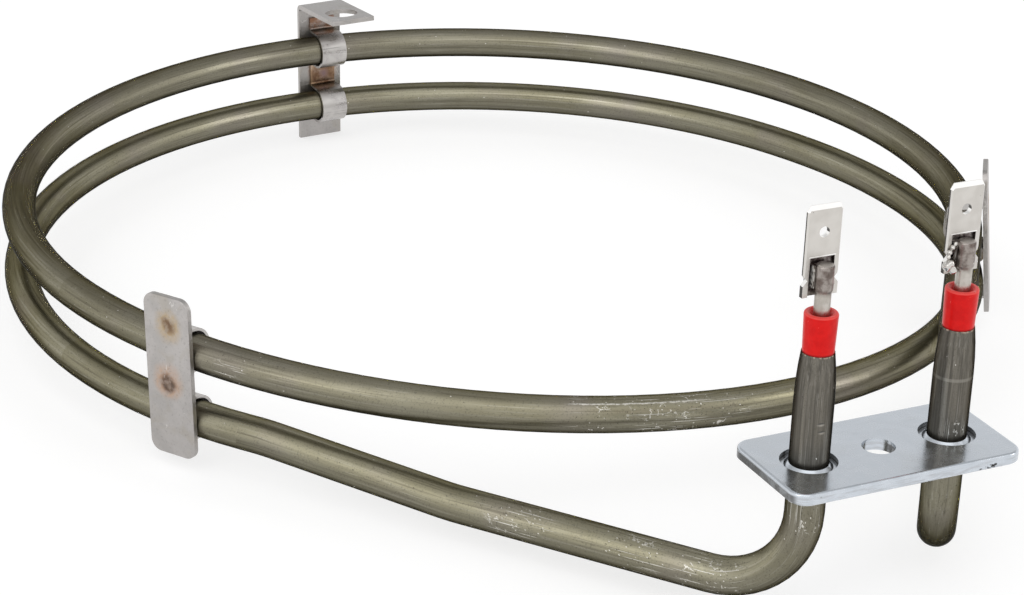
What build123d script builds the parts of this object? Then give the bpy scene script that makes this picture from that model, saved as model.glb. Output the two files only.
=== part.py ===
from build123d import *
import os
from collections import namedtuple
from math import acos, atan2, cos, degrees, hypot, radians, sin, sqrt

# Two-turn ring heating element of a fan oven.  Millimetres, Z up.
# The origin is the centre of the flange's screw hole, on the face that meets the oven wall.
# The legs stand up through the flange; the ring lies below it, towards +Y.

# ---- driving dimensions -------------------------------------------------
# sheath and ring
TUBE_D = 6.5
SHEATH_WALL = 0.55
RING_R = 95.0              # ring axis to tube centre
LEAD_IN_EASE = 1.0         # the upper turn begins this much tighter than the ring
LEAD_IN_END = 60.0         # plan angle at which the upper turn reaches the ring radius
TURN_SPACING = 13.2        # upper turn down to lower turn
STEP_START = 190.0         # plan angle at which the upper turn begins to step down
STEP_HALF_SWEEP = 97.5     # sweep of each of the two tilted arcs of the step
RING_OFFSET = 140.4        # screw hole to ring axis
UPPER_TURN_Z = -8.6

# leads and legs
LEG_SPACING = 26.0
LEG_TOP_Z = 19.0
LEG_BEND_R = 15.5
LEAD_DIP_R = 60.0          # radius of the slow bends along a lead
LEFT_DIP_AT = 4.0          # distances along a lead, from where it leaves the ring
LEFT_DIP_END = 41.0
RIGHT_DIP_AT = 36.0
LEFT_CORNER_Z = -24.6      # sharp corner between lead and leg, before its bend
RIGHT_CORNER_Z = -28.5
MOUTH_D = 5.35             # sheath narrowed round its seal
NECK_LENGTH = 8.0

# inside the sheath
COIL_D = 3.0
COLD_LENGTH = 30.0         # straight part of each pin beyond the leg bend
SEAL_DEPTH = 5.0

# terminals
PIN_D = 2.6
PIN_HEAD_D = 3.0           # pin pressed fatter where its blade is welded on
PIN_HEAD_Z = 29.5
PIN_HEAD_TAPER = 0.5
PIN_TOP_Z = 33.6
PIN_ROUND = 0.4
SEAL_TOP_D = 5.5
SEAL_RIM_D = 5.1
SEAL_TOP_Z = 25.6
SEAL_DISH = 0.7
BLADE_W = 6.3
BLADE_T = 0.8
BLADE_TIP_Z = 43.0
BLADE_LENGTH = 15.1
BLADE_CORNER_W = 0.6
BLADE_CORNER_H = 1.0
BLADE_TIP_T = 0.25         # thickness left at the tip
BLADE_TIP_BEVEL = 0.75     # length of the taper at the tip
BLADE_BEVEL = 0.25
BLADE_HOLE_D = 1.8
BLADE_HOLE_DOWN = 4.5      # tip to hole centre
NOTCH_UP = 2.8             # lower end to notch centre
NOTCH_DEPTH = 0.75
NOTCH_HEIGHT = 1.8
CHANNEL_W = 4.4
CHANNEL_LENGTH = 6.5
CHANNEL_DEPTH = 0.6
WELD_FILM = 0.1            # thickness of weld metal between pin and channel floor
WELD_HALF_W = 1.9
WELD_SIDE = 0.5            # pin axis to where the weld metal starts up the pin's sides

# flange
FLANGE_L = 42.5
FLANGE_W = 20.8
FLANGE_T = 2.0
FLANGE_CORNER_R = 3.0
FLANGE_EDGE_R = 0.5
FLANGE_BURR = 0.25
SCREW_HOLE_D = 5.5
STAKE_OUTER_D = 9.4
STAKE_INNER_D = 7.9
STAKE_DEPTH = 0.8
STAKE_LIP = 0.2            # the lip pressed against each leg stays this far below the face

# brackets
LEFT_FROM_LEAD = 8.07      # degrees of the ring from a bracket to where its lead leaves
RIGHT_FROM_LEAD = 5.45
BACK_ANGLE = 88.8          # plan angle from +X
LEFT_LEAN = 2.7            # lower end swung anticlockwise round the ring
RIGHT_LEAN = 0.0
BACK_LEAN = -1.0
RIGHT_TURN = -5.0          # brackets swung anticlockwise from the ring's radius
BACK_TURN = 3.5
PLATE_W = 10.2
PLATE_T = 1.0
LEFT_ABOVE = 11.0          # upper tube centre to the plate's top edge
RIGHT_ABOVE = 12.4
PLATE_LENGTH = 30.3
PLATE_CORNER_R = 2.2
BACK_ABOVE = 10.3
BACK_LENGTH = 32.4
TAB_LENGTH = 19.4
TAB_RISE = 4.5             # tab's slope up towards its free end, degrees
TAB_BEND_R = 0.6
TAB_HOLE_D = 7.2
TAB_HOLE_IN = 6.4          # free end to hole centre
DIMPLE_D = 3.0
DIMPLE_DEPTH = 0.15
STRAP_W = 6.0
STRAP_T = 0.5
STRAP_SHIFT = 0.4          # strap centre to plate centre, along the tube
STRAP_CLEARANCE = 0.03     # left between strap and tube where they come closest
STRAP_BEND_R = 0.5
STRAP_LIP = 6.9            # upper tube centre to strap's top edge
EDGE_BREAK = 0.2

# ---- derived ------------------------------------------------------------
TUBE_R = TUBE_D / 2
BORE_R = TUBE_R - SHEATH_WALL
LOWER_TURN_Z = UPPER_TURN_Z - TURN_SPACING
LEAD_IN_R = RING_R - LEAD_IN_EASE
NECK_Z = LEG_TOP_Z - NECK_LENGTH
RING_AXIS = Vector(0, RING_OFFSET, 0)
LEFT_LEG = Vector(-LEG_SPACING / 2, 0, 0)
RIGHT_LEG = Vector(LEG_SPACING / 2, 0, 0)
UP = Vector(0, 0, 1)


def plan(angle):
    """Unit vector in plan at an angle from +X."""
    return Vector(cos(radians(angle)), sin(radians(angle)), 0)


def along(angle):
    """Unit tangent of the ring at a plan angle, anticlockwise from above."""
    return Vector(-sin(radians(angle)), cos(radians(angle)), 0)


# ---- centreline ---------------------------------------------------------
# Straight runs and circular arcs only, each tangent to the next.
def step_shape():
    """Radius and tilt of the two arcs of the step, and half its sweep in plan."""
    rise = 1 - cos(radians(STEP_HALF_SWEEP))
    drop = TURN_SPACING / 2
    reach = RING_R * rise
    tilt = atan2(2 * drop, reach + sqrt(reach**2 - 4 * drop**2 * (1 - rise)))
    radius = RING_R * cos(tilt) / (1 - rise * sin(tilt) ** 2)
    inward = RING_R - radius * rise * cos(tilt)
    half_sweep = degrees(atan2(radius * sin(radians(STEP_HALF_SWEEP)), inward))
    return radius, tilt, half_sweep


def flat_arc(centre, radius, start, end, height):
    """Level arc from one plan angle to another."""
    level = Plane(origin=(centre.X, centre.Y, height))
    return level * CenterArc((0, 0), radius, start, end - start)


def tilted_arc(start_angle, height, turn, slope):
    """Arc that leaves the ring level at a plan angle; turn and slope are +1 or -1."""
    radius, tilt, _ = step_shape()
    start = RING_AXIS + plan(start_angle) * RING_R + UP * height
    tangent = along(start_angle) * turn
    to_centre = plan(start_angle) * -cos(tilt) + UP * (slope * sin(tilt))
    level = Plane(origin=start, x_dir=tangent, z_dir=tangent.cross(to_centre))
    return level * JernArc((0, 0), (1, 0), radius, STEP_HALF_SWEEP)


def tangent_angle(leg, centre, radius, side):
    """Plan angle where a straight lead from a leg touches a circle."""
    arm = leg - centre
    return degrees(atan2(arm.Y, arm.X)) + side * degrees(acos(radius / hypot(arm.X, arm.Y)))


def lead(leg, touch, dips, corner_z):
    """Lead and leg: off the ring, through the slow dips, then the bend up into the leg."""
    way = (Vector(leg.X, leg.Y, touch.Z) - touch).normalized()
    bends = [touch + way * distance + UP * (height - touch.Z) for distance, height in dips]
    corner = Vector(leg.X, leg.Y, corner_z)
    top = Vector(leg.X, leg.Y, NECK_Z)
    radii = [LEAD_DIP_R] * len(bends) + [LEG_BEND_R]
    return FilletPolyline(touch, *bends, corner, top, radius=radii).edges()


def coil_arcs():
    """The ring's arcs in order, from the right lead to the left lead."""
    half_sweep = step_shape()[2]
    lead_in_centre = RING_AXIS + plan(LEAD_IN_END) * LEAD_IN_EASE
    first = tangent_angle(RIGHT_LEG, lead_in_centre, LEAD_IN_R, 1)
    last = tangent_angle(LEFT_LEG, RING_AXIS, RING_R, -1) + 720
    step_end = STEP_START + 2 * half_sweep
    return [
        flat_arc(lead_in_centre, LEAD_IN_R, first, LEAD_IN_END, UPPER_TURN_Z),
        flat_arc(RING_AXIS, RING_R, LEAD_IN_END, STEP_START, UPPER_TURN_Z),
        tilted_arc(STEP_START, UPPER_TURN_Z, 1, -1),
        tilted_arc(step_end, LOWER_TURN_Z, -1, 1),
        flat_arc(RING_AXIS, RING_R, step_end, last, LOWER_TURN_Z),
    ]


ARCS = coil_arcs()
LEFT_ANGLE = tangent_angle(LEFT_LEG, RING_AXIS, RING_R, -1) - LEFT_FROM_LEAD
RIGHT_ANGLE = tangent_angle(RIGHT_LEG, ARCS[0].arc_center, LEAD_IN_R, 1) + RIGHT_FROM_LEAD
RIGHT_DIPS = [(RIGHT_DIP_AT, UPPER_TURN_Z)]
LEFT_DIPS = [(LEFT_DIP_AT, LOWER_TURN_Z), (LEFT_DIP_END, LEFT_CORNER_Z)]
RIGHT_LEAD = lead(RIGHT_LEG, ARCS[0] @ 0, RIGHT_DIPS, RIGHT_CORNER_Z)
LEFT_LEAD = lead(LEFT_LEG, ARCS[-1] @ 1, LEFT_DIPS, LEFT_CORNER_Z)


def rod(edge, radius):
    """Round bar along one straight or circular edge."""
    start = Plane(origin=edge @ 0, z_dir=edge % 0)
    disc = start * Circle(radius)
    if edge.geom_type == GeomType.LINE:
        return extrude(disc, edge.length)
    arm = (edge @ 0) - edge.arc_center
    axle = Axis(edge.arc_center, arm.cross(edge % 0))
    return revolve(disc, axle, revolution_arc=degrees(edge.length / edge.radius))


def rods(edges, radius):
    """Round bar along a chain of edges, in one piece."""
    bar = rod(edges[0], radius)
    for edge in edges[1:]:
        bar += rod(edge, radius)
    return bar


# ---- what a leg holds ---------------------------------------------------
def neck(leg, base_r, mouth_r):
    """Tapered end of a leg: straight at its foot, closing in to the mouth."""
    side = TangentArc((base_r, NECK_Z), (mouth_r, LEG_TOP_Z), tangent=(0, 1))
    rest = Polyline((mouth_r, LEG_TOP_Z), (0, LEG_TOP_Z), (0, NECK_Z), (base_r, NECK_Z))
    profile = make_face(Plane.XZ * (side + rest))
    return Pos(leg.X, leg.Y, 0) * revolve(profile, Axis.Z)


def neck_bore(leg):
    return neck(leg, BORE_R, MOUTH_D / 2 - SHEATH_WALL)


def slab(leg, low, high):
    """Block round one leg between two heights, for cutting its pieces to length."""
    block = Box(4 * TUBE_D, 4 * TUBE_D, high - low, align=(Align.CENTER, Align.CENTER, Align.MIN))
    return Pos(leg.X, leg.Y, low) * block


def split_lead(edges):
    """The lead's edges shared out: those the pin fills, and those left to the coil."""
    *early, straight, bend, leg = edges
    joint = straight @ (1 - COLD_LENGTH / straight.length)
    pin_run = Line(joint, straight @ 1).edge()
    coil_run = Line(straight @ 0, joint).edge()
    return [pin_run, bend, leg], early + [coil_run]


RIGHT_PIN_RUN, RIGHT_COIL_RUN = split_lead(RIGHT_LEAD)
LEFT_PIN_RUN, LEFT_COIL_RUN = split_lead(LEFT_LEAD)


def sheath_tube():
    whole = RIGHT_LEAD + ARCS + LEFT_LEAD
    outside = rods(whole, TUBE_R)
    inside = rods(whole, BORE_R)
    for leg in (LEFT_LEG, RIGHT_LEG):
        outside += neck(leg, TUBE_R, MOUTH_D / 2)
        inside += neck_bore(leg)
    return outside - inside


def resistance_coil():
    """Envelope of the wound wire, from pin to pin."""
    return rods(RIGHT_COIL_RUN + ARCS + LEFT_COIL_RUN, COIL_D / 2)


def terminal_pin(leg, run):
    """Pin along its run, rising out of the leg to the fatter head that takes the blade."""
    profile = Polyline(
        (0, NECK_Z),
        (PIN_D / 2, NECK_Z),
        (PIN_D / 2, PIN_HEAD_Z - PIN_HEAD_TAPER),
        (PIN_HEAD_D / 2, PIN_HEAD_Z),
        (PIN_HEAD_D / 2, PIN_TOP_Z),
        (0, PIN_TOP_Z),
        close=True,
    )
    top = revolve(make_face(Plane.XZ * profile), Axis.Z)
    top = fillet(top.edges().group_by(Axis.Z)[-1], PIN_ROUND)
    return rods(run, PIN_D / 2) + Pos(leg.X, leg.Y, 0) * top


def magnesia_fill(coil, pins):
    """Packed powder round the coil and the pins, up to the seals."""
    fill = rods(RIGHT_LEAD + ARCS + LEFT_LEAD, BORE_R)
    for leg in (LEFT_LEG, RIGHT_LEG):
        fill += neck_bore(leg) & slab(leg, NECK_Z, LEG_TOP_Z - SEAL_DEPTH)
    for inner in [coil] + pins:
        fill -= inner
    return fill


def end_seal(leg):
    """Red plug: fills the mouth of the sheath and stands out of it, dished round the pin."""
    plug = neck_bore(leg) & slab(leg, LEG_TOP_Z - SEAL_DEPTH, LEG_TOP_Z)
    rim = SEAL_RIM_D / 2
    top = SEAL_TOP_D / 2
    outline = Polyline(
        (0, LEG_TOP_Z),
        (rim, LEG_TOP_Z),
        (top, SEAL_TOP_Z),
        (top - SEAL_DISH, SEAL_TOP_Z),
        (PIN_D / 2, SEAL_TOP_Z - SEAL_DISH),
        (0, SEAL_TOP_Z - SEAL_DISH),
        (0, LEG_TOP_Z),
    )
    cap = revolve(make_face(Plane.XZ * outline), Axis.Z)
    crown = cap.edges().filter_by(GeomType.CIRCLE).group_by(Axis.Z)[-1]
    cap = fillet(crown.sort_by(SortBy.RADIUS)[-1], SEAL_DISH / 2)
    hole = Pos(leg.X, leg.Y, 0) * Cylinder(PIN_D / 2, 2 * SEAL_TOP_Z)
    return plug + Pos(leg.X, leg.Y, 0) * cap - hole


# ---- terminals ----------------------------------------------------------
BLADE_LOW_Z = BLADE_TIP_Z - BLADE_LENGTH
CHANNEL_FLOOR_Y = PIN_HEAD_D / 2 + WELD_FILM    # the pin lies along the floor of the channel
BLADE_FRONT_Y = CHANNEL_FLOOR_Y - CHANNEL_DEPTH


def blade_outline():
    """Outline of the flat blade, in its width and height."""
    half = BLADE_W / 2
    low = BLADE_LOW_Z
    notch = low + NOTCH_UP
    right = [
        (half, low),
        (half, notch - NOTCH_HEIGHT / 2),
        (half - NOTCH_DEPTH, notch),
        (half, notch + NOTCH_HEIGHT / 2),
        (half, BLADE_TIP_Z - BLADE_CORNER_H),
        (half - BLADE_CORNER_W, BLADE_TIP_Z),
    ]
    left = [(-x, z) for x, z in reversed(right)]
    return Polyline(*right, *left, close=True)


def blade_nose():
    """Block as thick as the blade, tapered to the thin edge of its tip."""
    half = BLADE_T / 2
    shoulder = BLADE_TIP_Z - BLADE_TIP_BEVEL
    right = [(half, BLADE_LOW_Z), (half, shoulder), (BLADE_TIP_T / 2, BLADE_TIP_Z)]
    left = [(-y, z) for y, z in reversed(right)]
    section = make_face(Plane.YZ * Polyline(*right, *left, close=True))
    return Pos(0, BLADE_FRONT_Y + half, 0) * extrude(section, BLADE_W, both=True)


def blade_tab(leg):
    """Push-on blade with a channel pressed in its lower half to take the pin."""
    front = Plane.XZ.offset(-BLADE_FRONT_Y)
    blade = extrude(make_face(front * blade_outline()), -BLADE_T)
    sharp = blade.edges().filter_by(Plane.XZ).filter_by_position(
        Axis.Z, BLADE_LOW_Z + NOTCH_UP + NOTCH_HEIGHT / 2, BLADE_TIP_Z
    )
    blade = chamfer(sharp, BLADE_BEVEL) & blade_nose()
    size = (CHANNEL_W, CHANNEL_DEPTH, CHANNEL_LENGTH)
    corner = (Align.CENTER, Align.MIN, Align.MIN)
    blade -= Pos(0, BLADE_FRONT_Y, BLADE_LOW_Z) * Box(*size, align=corner)
    blade += Pos(0, BLADE_FRONT_Y + BLADE_T, BLADE_LOW_Z) * Box(*size, align=corner)
    hole = Pos(0, 0, BLADE_TIP_Z - BLADE_HOLE_DOWN) * Rot(90, 0, 0) * Cylinder(BLADE_HOLE_D / 2, 4 * BLADE_W)
    return Pos(leg.X, leg.Y, 0) * (blade - hole)


def pin_weld(leg):
    """Weld metal between the pin's head and the channel, built up along both its sides."""
    spread = Polyline(
        (-WELD_HALF_W, CHANNEL_FLOOR_Y),
        (-PIN_HEAD_D / 2, WELD_SIDE),
        (PIN_HEAD_D / 2, WELD_SIDE),
        (WELD_HALF_W, CHANNEL_FLOOR_Y),
        close=True,
    )
    section = make_face(spread) - Circle(PIN_HEAD_D / 2)
    bead = extrude(Pos(leg.X, leg.Y) * section, PIN_TOP_Z - PIN_ROUND - PIN_HEAD_Z)
    return Pos(0, 0, PIN_HEAD_Z) * bead


# ---- flange -------------------------------------------------------------
def flange_plate():
    """Stamped plate, staked round both legs, with one screw hole."""
    plate = extrude(RectangleRounded(FLANGE_L, FLANGE_W, FLANGE_CORNER_R), -FLANGE_T)
    rim = plate.faces().sort_by(Axis.Z)
    plate = fillet(rim[-1].edges(), FLANGE_EDGE_R)
    plate = chamfer(plate.faces().sort_by(Axis.Z)[0].edges(), FLANGE_BURR)
    plate -= Cylinder(SCREW_HOLE_D / 2, 4 * FLANGE_T)
    groove = Polyline(
        (STAKE_OUTER_D / 2, 0),
        (STAKE_OUTER_D / 2, -STAKE_DEPTH),
        (STAKE_INNER_D / 2, -STAKE_DEPTH),
        (TUBE_R, -STAKE_LIP),
        (TUBE_R, 0),
        close=True,
    )
    ring = revolve(make_face(Plane.XZ * groove), Axis.Z)
    for leg in (LEFT_LEG, RIGHT_LEG):
        place = Pos(leg.X, leg.Y, 0)
        plate -= place * ring
        plate -= place * Cylinder(TUBE_R, 4 * FLANGE_T)
    return plate


# ---- brackets -----------------------------------------------------------
def tube_centre(angle, arc):
    """Point of the centreline that lies at a plan angle, on one arc."""
    cut = Plane(origin=RING_AXIS, z_dir=along(angle))
    near = RING_AXIS + plan(angle) * RING_R
    return min((Vector(v) for v in arc.edge().intersect(cut)), key=lambda p: (p - near).length)


Grip = namedtuple("Grip", "pitch hug seat")


def skew(point, arc, axis):
    """Sine of the angle between the tube, at a point of an arc, and a strap's axis."""
    edge = arc.edge()
    return (edge % edge.param_at_point(point)).cross(axis).length


def bracket_place(angle, lean, turn, upper_arc, lower_arc):
    """Frame of a bracket: X outward, Z up, origin at the upper tube.

    Its grip goes with it: pitch of the tubes, radius in which the strap clears them, and
    distance from the tube centre to the plate.
    """
    upper = tube_centre(angle, upper_arc)
    lower = tube_centre(angle, lower_arc)
    square = (upper - lower).normalized()
    outward = along(angle + turn).cross(square).normalized()
    upright = square.rotate(Axis((0, 0, 0), outward), lean)
    across = upright.cross(outward)
    worst = max(skew(upper, upper_arc, across), skew(lower, lower_arc, across))
    reach = STRAP_W / 2 + STRAP_SHIFT
    hug = TUBE_R + STRAP_CLEARANCE + reach * worst + reach**2 / (2 * RING_R)
    seat = TUBE_R + RING_R * (1 - cos(radians(turn)))
    place = Plane(origin=upper, x_dir=outward, z_dir=upright).location
    return place, Grip((upper - lower).dot(upright), hug, seat)


def weld_dimples(grip):
    """Shallow dents of the two spot welds, cut in the plate's outer face."""
    ball_r = (DIMPLE_D**2 / 4 + DIMPLE_DEPTH**2) / (2 * DIMPLE_DEPTH)
    centre_x = grip.seat + PLATE_T + ball_r - DIMPLE_DEPTH
    lip_middle = (STRAP_LIP + grip.hug + STRAP_T + STRAP_BEND_R) / 2
    heights = (lip_middle, -grip.pitch / 2)
    return [Pos(centre_x, -STRAP_SHIFT, height) * Sphere(ball_r) for height in heights]


def flat_plate(above, length, grip):
    """Straight bracket plate with rounded corners, on the outside of the ring."""
    face = Plane.YZ.offset(grip.seat)
    outline = Pos(0, above - length / 2) * RectangleRounded(PLATE_W, length, PLATE_CORNER_R)
    sheet = extrude(face * outline, PLATE_T)
    sheet = fillet(sheet.faces().sort_by(Axis.X)[-1].edges(), EDGE_BREAK)
    for dent in weld_dimples(grip):
        sheet -= dent
    return sheet


def tabbed_plate(above, length, grip):
    """Bracket plate bent over at the top into a drilled tab that points into the ring."""
    outer = grip.seat + PLATE_T
    bend = TAB_BEND_R + PLATE_T
    corner = Vector(outer, above)
    inward = Vector(-cos(radians(TAB_RISE)), sin(radians(TAB_RISE)))
    line = FilletPolyline(
        corner - (0, length), corner, corner + inward * TAB_LENGTH, radius=bend
    )
    back = offset(line, PLATE_T, side=Side.LEFT)
    sheet = extrude(make_face(Plane.XZ * back), PLATE_W / 2, both=True)
    middle = corner + inward * (TAB_LENGTH - TAB_HOLE_IN)
    drill = Cylinder(TAB_HOLE_D / 2, 4 * PLATE_T)
    sheet -= Pos(middle.X, 0, middle.Y) * Rot(0, TAB_RISE, 0) * drill
    for dent in weld_dimples(grip):
        sheet -= dent
    return sheet


def strap(grip):
    """Thin strap hugging both tubes from inside the ring, lying on the plate between them."""
    pitch, hug, seat = grip
    outside_bend = STRAP_BEND_R + STRAP_T
    top = FilletPolyline((seat, STRAP_LIP), (seat, hug), (0, hug), radius=outside_bend)
    upper = CenterArc((0, 0), hug, 90, 180)
    between = FilletPolyline(
        (0, -hug), (seat, -hug), (seat, hug - pitch), (0, hug - pitch), radius=outside_bend
    )
    lower = CenterArc((0, -pitch), hug, 90, 180)
    end = Line((0, -hug - pitch), (seat, -hug - pitch))
    inner_line = Wire((top + upper + between + lower + end).edges())
    section = make_face(Plane.XZ * offset(inner_line, STRAP_T, side=Side.RIGHT))
    return Pos(0, -STRAP_SHIFT, 0) * extrude(section, STRAP_W / 2, both=True)


def bracket(place, grip, plate_shape, above, length):
    """Plate and strap of one bracket, in place."""
    return place * plate_shape(above, length, grip), place * strap(grip)


# ---- assembly -----------------------------------------------------------
coil = resistance_coil()
left_pin = terminal_pin(LEFT_LEG, LEFT_PIN_RUN)
right_pin = terminal_pin(RIGHT_LEG, RIGHT_PIN_RUN)
left_place = bracket_place(LEFT_ANGLE, LEFT_LEAN, 0, ARCS[2], ARCS[4])
right_place = bracket_place(RIGHT_ANGLE, RIGHT_LEAN, RIGHT_TURN, ARCS[0], ARCS[3])
back_place = bracket_place(BACK_ANGLE, BACK_LEAN, BACK_TURN, ARCS[1], ARCS[4])
left_plate, left_strap = bracket(*left_place, flat_plate, LEFT_ABOVE, PLATE_LENGTH)
right_plate, right_strap = bracket(*right_place, flat_plate, RIGHT_ABOVE, PLATE_LENGTH)
back_plate, back_strap = bracket(*back_place, tabbed_plate, BACK_ABOVE, BACK_LENGTH)

NODES = {
    "sheath_tube": sheath_tube(),
    "magnesia_fill": magnesia_fill(coil, [left_pin, right_pin]),
    "resistance_coil": coil,
    "left_terminal_pin": left_pin,
    "right_terminal_pin": right_pin,
    "left_end_seal": end_seal(LEFT_LEG),
    "right_end_seal": end_seal(RIGHT_LEG),
    "left_blade_tab": blade_tab(LEFT_LEG),
    "right_blade_tab": blade_tab(RIGHT_LEG),
    "left_pin_weld": pin_weld(LEFT_LEG),
    "right_pin_weld": pin_weld(RIGHT_LEG),
    "flange_plate": flange_plate(),
    "left_bracket_plate": left_plate,
    "left_bracket_strap": left_strap,
    "right_bracket_plate": right_plate,
    "right_bracket_strap": right_strap,
    "back_bracket_plate": back_plate,
    "back_bracket_strap": back_strap,
}

os.makedirs("parts", exist_ok=True)
for name, shape in NODES.items():
    export_step(shape, f"parts/{name}.step")
    print(name, round(shape.volume, 2))
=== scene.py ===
# %% [markdown]
# # Ring heating element of a fan oven
# A steel sheath tube is wound into two turns, clipped together by three brackets, and its
# two legs stand up through a zinc-plated flange. This lesson dresses the finished solids
# with procedural finishes, adds the small things a welder leaves behind, and lights it all.

# %% Load the frame
import math

import bmesh
import bpy
from mathutils import Matrix, Vector, noise


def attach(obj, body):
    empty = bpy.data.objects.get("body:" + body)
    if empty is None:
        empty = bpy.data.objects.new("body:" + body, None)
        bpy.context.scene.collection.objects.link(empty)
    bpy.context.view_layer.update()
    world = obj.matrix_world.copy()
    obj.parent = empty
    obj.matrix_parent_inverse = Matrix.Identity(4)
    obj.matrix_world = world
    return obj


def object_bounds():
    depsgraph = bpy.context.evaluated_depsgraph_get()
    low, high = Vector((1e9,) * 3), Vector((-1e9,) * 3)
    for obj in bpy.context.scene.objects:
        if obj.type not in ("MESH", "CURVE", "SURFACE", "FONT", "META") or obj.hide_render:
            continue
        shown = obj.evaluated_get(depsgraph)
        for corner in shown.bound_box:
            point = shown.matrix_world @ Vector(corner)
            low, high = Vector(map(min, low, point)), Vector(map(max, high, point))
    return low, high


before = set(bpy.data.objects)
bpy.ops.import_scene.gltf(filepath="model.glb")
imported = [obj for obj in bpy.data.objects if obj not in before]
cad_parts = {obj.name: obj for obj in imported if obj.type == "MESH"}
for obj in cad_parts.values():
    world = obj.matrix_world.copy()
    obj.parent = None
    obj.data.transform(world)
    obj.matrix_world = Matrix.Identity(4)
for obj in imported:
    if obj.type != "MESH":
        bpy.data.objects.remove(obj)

cad_low, cad_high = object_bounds()
print("solids:", len(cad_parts), "box", [round(v, 3) for v in (*cad_low, *cad_high)])

# %% [markdown]
# ## Sizes that the finishes need
# Drawn lines run along the tube, so the finish has to know where the tube goes: the ring
# about its axis, and each lead from where it leaves the ring to its leg. These few numbers
# are the element's own dimensions in metres. The finish could be painted on unwrapped
# faces instead, but a formula needs no picture and never shows a seam.

# %% Dimensions of the run
MM = 0.001
RING_AXIS_Y = 140.4 * MM
RING_RADIUS = 95.0 * MM
UPPER_TURN_Z = -8.6 * MM
LOWER_TURN_Z = -21.8 * MM
STEP_START = math.radians(190.0)     # plan angle where the upper turn starts to step down
STEP_SWEEP = math.radians(195.0)     # and how far round the ring it takes to do so
LEG_X = 13.0 * MM
LEG_BEND_R = 15.5 * MM
LEG_TOP_Z = 19.0 * MM
SEAL_TOP_Z = 25.6 * MM
TUBE_R = 3.25 * MM
print("the turns are", round((UPPER_TURN_Z - LOWER_TURN_Z) / MM, 1), "mm apart")

# %% [markdown]
# ## A small kit, part one: sums and mixes
# A finish is a graph of nodes. Adding them by hand in the shader editor works, but can't be
# repeated or reused, and in plain Python each node takes several lines. So a small class
# keeps each step to one: `calc` does a sum, `spread` maps one range on to another, and
# `tint` lays one colour over another by an amount.

# %% Graph
class Graph:
    """A tree of nodes, with short ways to add to it."""

    def __init__(self, tree):
        self.tree = tree

    def node(self, kind, **options):
        made = self.tree.nodes.new(kind)
        for option, value in options.items():
            setattr(made, option, value)
        return made

    def feed(self, socket, value):
        if isinstance(value, bpy.types.NodeSocket):
            self.tree.links.new(value, socket)
        else:
            socket.default_value = value

    def fed(self, kind, *values, **options):
        """A new node with its first inputs fed in order."""
        made = self.node(kind, **options)
        for socket, value in zip(made.inputs, values):
            self.feed(socket, value)
        return made.outputs

    def calc(self, operation, *values):
        return self.fed("ShaderNodeMath", *values, operation=operation)[0]

    def times(self, *values):
        """The product of two or more values."""
        product = values[0]
        for value in values[1:]:
            product = self.calc("MULTIPLY", product, value)
        return product

    def split(self, vector):
        return self.fed("ShaderNodeSeparateXYZ", vector)

    def join(self, x, y, z):
        return self.fed("ShaderNodeCombineXYZ", x, y, z)[0]

    def stretch(self, vector, by):
        return self.fed("ShaderNodeVectorMath", vector, by, operation="MULTIPLY")[0]

    def shift(self, vector, by):
        return self.fed("ShaderNodeVectorMath", vector, by, operation="ADD")[0]

    def length(self, vector):
        return self.fed("ShaderNodeVectorMath", vector, operation="LENGTH")["Value"]

    def spread(self, value, low, high, to_low=0.0, to_high=1.0, kind="SMOOTHSTEP"):
        return self.fed("ShaderNodeMapRange", value, low, high, to_low, to_high,
                        interpolation_type=kind)[0]

    def mix(self, kind, amount, under, over):
        made = self.node("ShaderNodeMix", data_type=kind)
        self.feed(made.inputs["Factor"], amount)
        for name, value in (("A", under), ("B", over)):
            self.feed([s for s in made.inputs if s.name == name and s.type == kind][0], value)
        return [s for s in made.outputs if s.type == kind][0]

    def tint(self, amount, under, over):
        under, over = ((*c, 1.0) if isinstance(c, tuple) else c for c in (under, over))
        return self.mix("RGBA", amount, under, over)


print("sums and mixes ready")

# %% [markdown]
# ## A small kit, part two: patterns
# Metal that has been handled is never one colour. `grain` is cloudy noise, `dots` are
# scattered specks and `hairs` are thin broken lines. All three are computed from a place in
# space, so they need no picture, and look the same from near and from far.

# %% Patterns
class Patterns(Graph):
    """A graph that can also draw noise, specks and hairlines."""

    def grain(self, vector, scale=1.0, detail=3.0, rough=0.55, bend=0.0):
        made = self.node("ShaderNodeTexNoise")
        for name, value in (("Vector", vector), ("Scale", scale), ("Detail", detail),
                            ("Roughness", rough), ("Distortion", bend)):
            self.feed(made.inputs[name], value)
        return made.outputs["Fac"]

    def grain_colour(self, vector, scale):
        made = self.node("ShaderNodeTexNoise")
        self.feed(made.inputs["Vector"], vector)
        self.feed(made.inputs["Scale"], scale)
        return made.outputs["Color"]

    def cells(self, vector, scale, **options):
        made = self.node("ShaderNodeTexVoronoi", **options)
        self.feed(made.inputs["Vector"], vector)
        self.feed(made.inputs["Scale"], scale)
        return made.outputs

    def dots(self, vector, scale, size, share):
        """1 in round specks: size is their radius in cells, share the part of cells used."""
        cells = self.cells(vector, scale)
        near = self.spread(cells["Distance"], size, size * 0.5)
        lot = self.split(cells["Color"])[0]
        return self.times(near, self.calc("LESS_THAN", lot, share))

    def hairs(self, vector, scale, width, keep, bend=0.8):
        """1 on thin wandering lines, broken up so that only a part of them is kept."""
        wander = self.stretch(self.grain_colour(vector, scale * 2.0), (bend / scale,) * 3)
        edges = self.cells(self.shift(vector, wander), scale, feature="DISTANCE_TO_EDGE")
        line = self.spread(edges["Distance"], width, width * 0.3)
        part = self.spread(self.grain(vector, scale * 0.9, 2.0), keep, keep + 0.04)
        return self.times(line, part)


print("patterns ready")

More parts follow.
